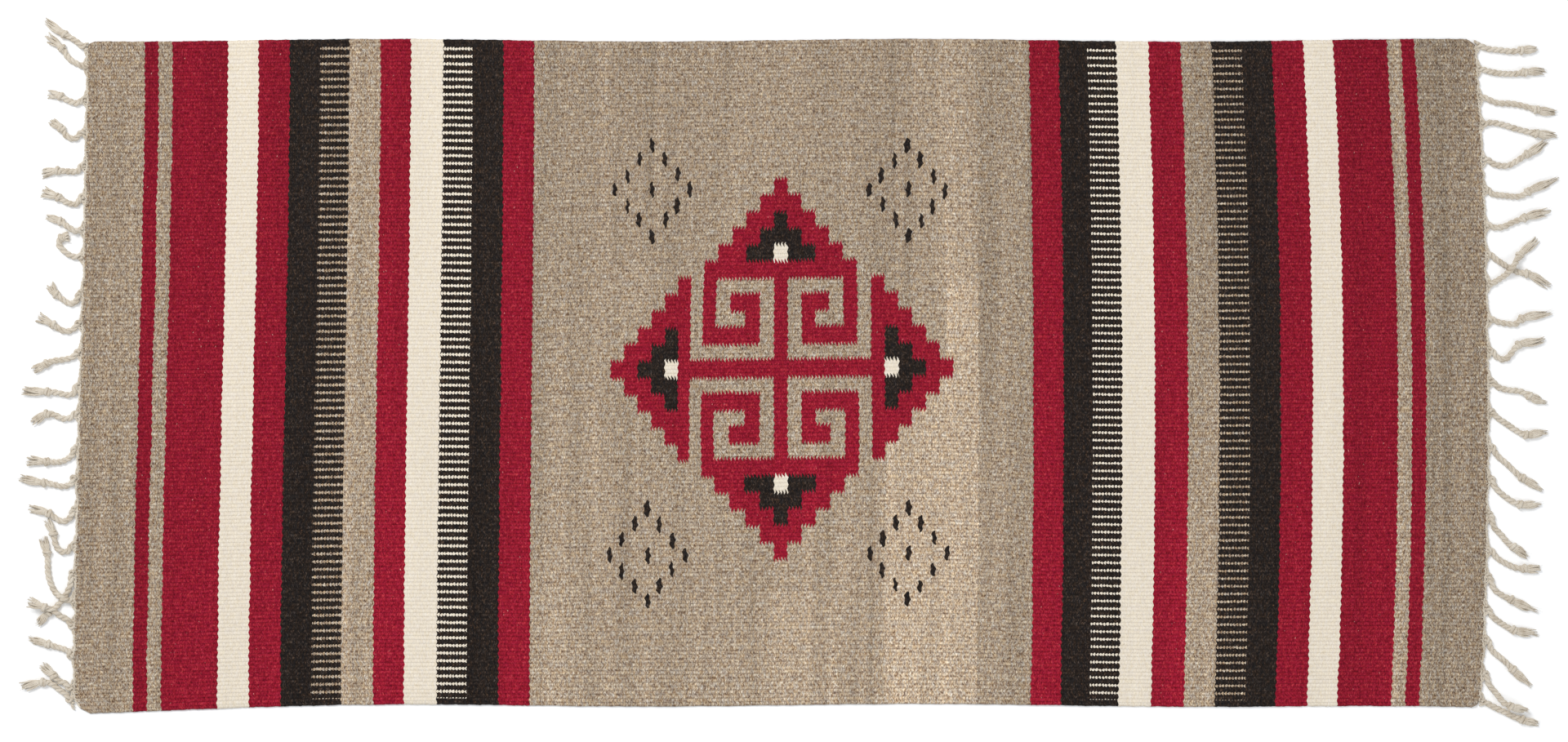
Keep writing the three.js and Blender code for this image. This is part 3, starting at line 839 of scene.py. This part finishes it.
def add_root(parts, side, across, cord_line, rng):
    """Loose warp yarns that leave the cloth round a tassel and run together into its cord."""
    join = cord_line[min(9, len(cord_line) - 1)]
    for offset in (-10.0, -5.5, -1.5, 2.5, 6.5, 11.5):
        leaves_at = np.clip(across + (offset + rng.uniform(-1, 1)) * MM, -ROOT_LIMIT, ROOT_LIMIT)
        edge = beyond_end(side, leaves_at, -1.2 * MM)
        start = np.array([edge[0], edge[1], 2.1 * MM])
        leave = start + np.array([side * 2.6 * MM, 0.12 * (join[1] - start[1]), -0.1 * MM])
        spot = join + np.array([0, rng.uniform(-1.3, 1.3) * MM, rng.uniform(-0.6, 0.6) * MM])
        before = (leave + spot) / 2 + np.array([-side * 0.6 * MM, 0.18 * (spot[1] - leave[1]), 0])
        line, _, _ = spline([start, leave, before, spot], 1.0 * MM)
        parts.tube(line, 0.95 * MM, 8, lobes=3, depth=0.08, twist=900, phase=rng.uniform(0, TAU))


def add_cord(parts, line, at, knot_at, hand, rng):
    """Two plies twisted round each other from the cloth to the knot."""
    keep = at <= knot_at + 1.5 * MM
    line, at = line[keep], at[keep]
    left, upward = frames_of(line)
    pitch = rng.uniform(11.5, 14.5) * MM
    start = rng.uniform(0, TAU)
    tight = np.clip((at - 1 * MM) / (7 * MM), 0.45, 1)
    for ply in range(2):
        angle = start + ply * math.pi + hand * TAU * at / pitch
        spread = PLY_OFFSET * (1 + 0.7 * (1 - tight))
        centre = line + left * (np.cos(angle) * spread)[:, None]
        centre = centre + upward * (np.sin(angle) * spread * 0.8)[:, None]
        radius = PLY_RADIUS * (0.62 + 0.38 * tight) * (1 + 0.04 * np.sin(at / (5 * MM) + start))
        parts.tube(centre, radius, 16, lobes=4, depth=0.075, twist=-hand * 620, phase=start)


def add_knot(parts, line, at, knot_at, hand, rng):
    """An overhand knot: the cord's yarns wrapped once and a half round it."""
    part = np.linspace(0, 1, 40)
    where = np.linspace(-KNOT_HALF_LENGTH, KNOT_HALF_LENGTH, 40)
    centre = points_at(knot_at + where, at, line)
    left, upward = frames_of(centre)
    angle = rng.uniform(0, TAU) + hand * TAU * KNOT_TURNS * part
    bulge = KNOT_RADIUS * (0.86 + 0.14 * np.sin(np.linspace(0, math.pi, 40)))
    wrap = centre + left * (np.cos(angle) * bulge)[:, None]
    wrap = wrap + upward * (np.sin(angle) * bulge * 0.72)[:, None]
    radius = KNOT_YARN * (0.55 + 0.45 * np.sin(np.linspace(0.25, math.pi - 0.25, 40)))
    parts.tube(wrap, radius, 12, lobes=4, depth=0.08, twist=700)


def add_tuft(parts, line, at, knot_at, splay, rng):
    """Cut warp yarns in two layers from the knot to ragged tips: a bulb at splay 0, a broom at 1."""
    total = at[-1] - knot_at
    heading = line[-1] - line[-3]
    heading /= np.linalg.norm(heading)
    slots = [(x, 0.62 * math.sqrt(1 - x * x) + 0.02) for x in (-0.92, -0.5, -0.08, 0.38, 0.85)]
    slots += [(x, -0.35) for x in (-0.7, -0.2, 0.25, 0.7)]
    twist = rng.uniform(-0.9, 0.9)
    lean = rng.uniform(-1.0, 1.0) * MM
    for slot, (sideways, rise) in enumerate(slots):
        long_one = slot in (1, 3, 6) or rng.random() < 0.2 + 0.3 * splay
        shortest = 0.62 + 0.16 * splay
        reach = total * (rng.uniform(0.95, 1.08) if long_one else rng.uniform(shortest, 0.97))
        s = np.linspace(-1.5 * MM, reach, 20)
        part = np.clip(s / total, 0, 1.1)
        own = unit(s / reach)
        centre = points_at(knot_at + s, at, line)
        centre = centre + np.outer(np.maximum(knot_at + s - at[-1], 0), heading)
        left, upward = frames_of(centre)
        bulb = BULB * np.sin(math.pi * unit(part) ** 0.62)
        broom = BROOM * np.clip(part, 0, 1.1) ** 0.95
        belly = (1.5 + (1 - splay) * bulb + splay * broom) * MM
        x = sideways * np.cos(twist * part) - rise * np.sin(twist * part) * 0.4
        y = rise * np.cos(twist * part) + sideways * np.sin(twist * part) * 0.4
        drift = (rng.uniform(-1.5, 1.5) * MM * (1 + 0.7 * splay) + lean) * part ** 2
        drift = drift + 0.3 * MM * np.sin(part * rng.uniform(7, 11) + slot)
        centre = centre + left * (belly * x + drift)[:, None] + upward * (belly * y * 0.8)[:, None]
        taper = 1 - (0.86 - 0.34 * splay) * unit((own - 0.5) / 0.5) ** 1.5
        parts.tube(centre, 1.25 * MM * taper, 8, lobes=3, depth=0.10, twist=800, phase=slot)
    add_wisps(parts, line, at, knot_at, heading, rng)


def add_wisps(parts, line, at, knot_at, heading, rng):
    """Single fine fibres that stick out of a tuft's end."""
    total = at[-1] - knot_at
    for _ in range(WISPS):
        side = rng.uniform(-1, 1)
        s = np.linspace(0.5, rng.uniform(1.02, 1.2), 9)
        centre = points_at(knot_at + s * total, at, line)
        centre = centre + np.outer(np.maximum(s - 1, 0) * total, heading)
        left, _ = frames_of(centre)
        bend = (side * 2.2 + rng.uniform(-2.5, 2.5) * (s - 0.5) ** 2 * 4) * MM
        centre = centre + left * bend[:, None] + np.array([0, 0, 0.6 * MM])
        parts.tube(centre, 0.3 * MM * (1.15 - s / s[-1]), 5)


def add_tassel(parts, side, across_mm, route_mm, rng):
    """One tassel along its route. At the left end the flare of the cloth doesn't move the tassels."""
    if side < 0 and across_mm < 0:
        across_mm = across_mm / (1 + LEFT_FLARE / HALF_WIDTH)
    root = beyond_end(side, across_mm * MM, 0)
    points = []
    for out, across, *lift in [(1.1, 0), (4.5, 0), *route_mm]:
        height = CORD_RADIUS * 0.93 + (lift[0] * MM if lift else 0)
        points.append((root[0] + side * out * MM, root[1] + across * MM, height))
    line, at, marks = spline(points, 0.9 * MM)
    knot_at = marks[-2]
    line[:, 2] += 0.9 * MM * np.exp(-((at - knot_at) / (5 * MM)) ** 2)
    line[:, 2] -= 0.7 * MM * unit((at - knot_at) / (at[-1] - knot_at))
    wobble = 0.35 * MM * np.sin(at / (6.5 * MM) + rng.uniform(0, TAU)) * unit(at / (8 * MM))
    left, _ = frames_of(line)
    line = line + left * wobble[:, None]
    hand = -1 if rng.random() < 0.5 else 1
    add_root(parts, side, across_mm * MM, line, rng)
    add_cord(parts, line, at, knot_at, hand, rng)
    add_knot(parts, line, at, knot_at, hand, rng)
    splay = rng.uniform(0.6, 1.0) if side < 0 else rng.uniform(0.0, 0.75)
    add_tuft(parts, line, at, knot_at, splay, rng)


def joint_of(child):
    """The joint that moves that body."""
    return next(j for j in frame["joints"] if j["child"] == child)


def fringe(side, groups):
    """One object for each group of tassels, as in the CAD source."""
    end = END[side]
    made = []
    number = 1
    for group in groups:
        span = f"{number:02d}_to_{number + len(group) - 1:02d}"
        rng = np.random.default_rng(100 * number + (7 if side > 0 else 3))
        number += len(group)
        parts = Parts()
        for across, route in group:
            add_tassel(parts, side, across, route, rng)
        piece = parts.make(f"{end}_fringe_{span}", "W")
        joint = joint_of(f"{end}_fringe_{span}")
        axis = Vector(joint["axis"])
        outward = axis.cross(Vector((0, 0, 1))).normalized()
        outward = outward if outward.x * side > 0 else -outward
        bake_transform(piece)
        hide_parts(f"{end}_tassels_{span}")
        made.append(piece)
    return made


def add_stitches(parts, side, rng):
    """Short warp yarns that show at the cloth's end, each from among the last picks round the edge."""
    for across in np.arange(-HALF_WIDTH + 10 * MM, HALF_WIDTH - 10 * MM, WARP_PITCH):
        if rng.random() < 0.35:
            continue
        across = across + rng.uniform(-1, 1) * MM
        slant = rng.uniform(-2.5, 2.5) * MM
        inner = -rng.uniform(1.5, 4.5) * MM
        route = []
        for out, shift, height in ((inner, slant, 0.3), (-0.9 * MM, 0.4 * slant, 0.1), (0.7 * MM, 0, -2.0)):
            spot = beyond_end(side, across + shift, out + ragged_end(side, across))
            route.append((spot[0], spot[1], THICKNESS + height * MM))
        line, _, _ = spline(route, 0.8 * MM)
        parts.tube(line, 0.55 * MM * np.linspace(0.6, 1, len(line)), 6)


def warp_loops(side):
    """The two-ply warp yarn that runs along the cloth's end from tassel to tassel, and the stitches."""
    end = END[side]
    parts = Parts()
    across = np.arange(-HALF_WIDTH + 7 * MM, HALF_WIDTH - 7 * MM, 1.0 * MM)
    x, y = lay(HALF[side] * side + side * ragged_end(side, across), across)
    out = 0.9 * MM * wander(across, 0 * across, [(0.026, 1), (0.012, 1)], 21 + side)
    line = np.stack([x + side * out, y, np.full(len(x), 2.2 * MM)], axis=1)
    for ply in range(2):
        angle = ply * math.pi + across * TAU / (9.5 * MM)
        centre = line.copy()
        centre[:, 0] += 0.75 * MM * np.cos(angle)
        centre[:, 2] += 0.8 * MM * np.sin(angle)
        parts.tube(centre, 0.98 * MM, 10, lobes=3, depth=0.09, twist=900)
    add_stitches(parts, side, np.random.default_rng(31 + side))
    piece = parts.make(f"{end}_warp_loops", "W")
    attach(piece, f"{end}_end")
    return piece


# ---- brocade dashes in the field

# The lozenges' middles, along and across, the dashes' spacing both ways and their half sizes, in mm
LOZENGES = [(-152, -212), (-148, 206), (144, -213), (144, 203)]
DASHES_ALONG = 14.5
DASHES_ACROSS = 17.5
DASH_HALF_LONG = 9.5
DASH_HALF_WIDE = 3.1


def brocade():
    """Lozenges of short black floats, one beyond each corner of the medallion."""
    points, faces, loom = [], [], []
    rng = np.random.default_rng(5)
    steps = [(i, j) for i in range(-3, 4) for j in range(-3, 4) if abs(i) + abs(j) in (0, 3)]
    for centre_u, centre_v in LOZENGES:
        for i, j in steps:
            spot_u = (centre_u + DASHES_ALONG * i + rng.uniform(-0.9, 0.9)) * MM
            spot_v = (centre_v + DASHES_ACROSS * j + rng.uniform(-1.4, 1.4)) * MM
            add_dash(points, faces, loom, spot_u, spot_v, rng)
    piece = make_object("brocade_dashes", points, faces, "K", loom)
    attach(piece, "middle")
    return piece


def add_dash(points, faces, loom, spot_u, spot_v, rng):
    """A float that tapers to both ends and dips between the warps that it passes over."""
    stations, sides = 15, 7
    half_long = DASH_HALF_LONG * MM * rng.uniform(0.88, 1.06)
    half_wide = DASH_HALF_WIDE * MM * rng.uniform(0.78, 1.2)
    lean = rng.uniform(-0.09, 0.09)
    first = len(points)
    place_uv = []
    for i, t in enumerate(np.linspace(-1, 1, stations)):
        v = spot_v + t * half_long
        body = max(0.05, (1 - abs(t) ** 2.2)) ** 0.6
        beat = 1 + 0.16 * math.cos(TAU * (v + HALF_WIDTH) / WARP_PITCH + math.pi)
        beat += rng.uniform(-0.06, 0.06)
        for k in range(sides):
            c = -1 + 2 * k / (sides - 1)
            u = spot_u + lean * t * half_long + c * half_wide * body * beat
            base = place(np.array(u), np.array(v), True)
            arch = math.sqrt(max(0.0, 1 - c * c))
            lift = 0.75 * MM * body * arch * (0.8 + 0.2 * beat) - 0.12 * MM
            points.append((base[0], base[1], THICKNESS - 0.1 * MM + lift))
            place_uv.append((u, v))
    for i in range(stations - 1):
        for k in range(sides - 1):
            a = i * sides + k
            corners = (a, a + 1, a + sides + 1, a + sides)
            faces.append(tuple(first + x for x in corners))
            loom.extend(place_uv[x] for x in corners)
    rim = list(range(sides)) + [i * sides + sides - 1 for i in range(1, stations)]
    rim += [(stations - 1) * sides + k for k in range(sides - 2, -1, -1)]
    rim += [i * sides for i in range(stations - 2, 0, -1)]
    under = len(points)
    for x in rim:
        px, py, _ = points[first + x]
        points.append((px, py, THICKNESS - 0.7 * MM))
    for a in range(len(rim)):
        b = (a + 1) % len(rim)
        faces.append((first + rim[b], first + rim[a], under + a, under + b))
        loom.extend([place_uv[rim[b]], place_uv[rim[a]], place_uv[rim[a]], place_uv[rim[b]]])
    faces.append(tuple(under + a for a in reversed(range(len(rim)))))
    loom.extend(place_uv[rim[a]] for a in reversed(range(len(rim))))


# ---- building the rug

# Where each panel's bend starts and ends, in mm out from its hinge. The right one starts farther
# out, to go round the left one when both are folded.
BENDS = {-1: (2.7, 16), 1: (10.5, 30)}


def build_cloth():
    """The middle cloth and the two end panels."""
    middle = cloth_piece("middle_cloth", middle_columns(), chart_wool, 3, 3)
    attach(middle, "middle")
    medallion = [n for n in frame["nodes"] if n.startswith("medallion_")]
    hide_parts("grey_field", *medallion)
    panels = []
    for side, (clear, reach) in BENDS.items():
        end = END[side]
        panel = cloth_piece(f"{end}_cloth", end_columns(side), lambda a, _: band_wool(a), 1, 6)
        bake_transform(panel)
        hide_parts(*[f"{end}_{band[0]}" for band in BANDS])
        panels.append(panel)
    return middle, panels[0], panels[1]


FLOOR_DROP = 0.3 * MM
LENS = 85
SENSOR = 36
VIEW_WIDTH = 1.797  # metres across the picture at the floor


def stage():
    """A pale floor just below the rug."""
    bpy.ops.mesh.primitive_plane_add(size=60, location=(0, 0, -FLOOR_DROP))
    floor = bpy.context.object
    floor.name = "floor"
    n = Nodes("pale_floor")
    floor.data.materials.append(n.surface({
        "Base Color": linear((253, 253, 253)), "Roughness": 0.8, "Specular IOR Level": 0.1,
        "Emission Color": (1.0, 1.0, 1.0, 1.0), "Emission Strength": 0.06,
    }))


def area_light(name, location, size, power, colour):
    """A square light that points at the middle of the rug."""
    data = bpy.data.lights.new(name, "AREA")
    data.shape = "RECTANGLE"
    data.size = size
    data.size_y = size
    data.energy = power
    data.color = colour
    lamp = bpy.data.objects.new(name, data)
    bpy.context.scene.collection.objects.link(lamp)
    lamp.location = location
    lamp.rotation_euler = (Vector((0, 0, 0)) - Vector(location)).to_track_quat("-Z", "Y").to_euler()


def light():
    """A bright studio, with a key light from the back left and a weak fill."""
    world = bpy.data.worlds.new("studio")
    world.use_nodes = True
    background = world.node_tree.nodes["Background"]
    background.inputs[0].default_value = (0.93, 0.96, 1.0, 1)
    background.inputs[1].default_value = 0.58
    bpy.context.scene.world = world
    area_light("key", (-2.2, 2.6, 4.6), 2.0, 172, (1.0, 0.99, 0.975))
    area_light("fill", (3.0, -2.2, 3.6), 2.6, 46, (0.97, 0.985, 1.0))


def camera():
    """Straight down from above the middle of the rug."""
    data = bpy.data.cameras.new("camera")
    data.lens = LENS
    data.sensor_width = SENSOR
    obj = bpy.data.objects.new("camera", data)
    bpy.context.scene.collection.objects.link(obj)
    obj.location = (0.0037, 0.0019, VIEW_WIDTH * LENS / SENSOR)
    bpy.context.scene.camera = obj
    bpy.context.scene.view_settings.view_transform = "Standard"


camera()
stage()
light()
middle, left_cloth, right_cloth = build_cloth()
dashes = brocade()
left_fringe = fringe(-1, LEFT_GROUPS) + [warp_loops(-1)]
right_fringe = fringe(1, RIGHT_GROUPS) + [warp_loops(1)]
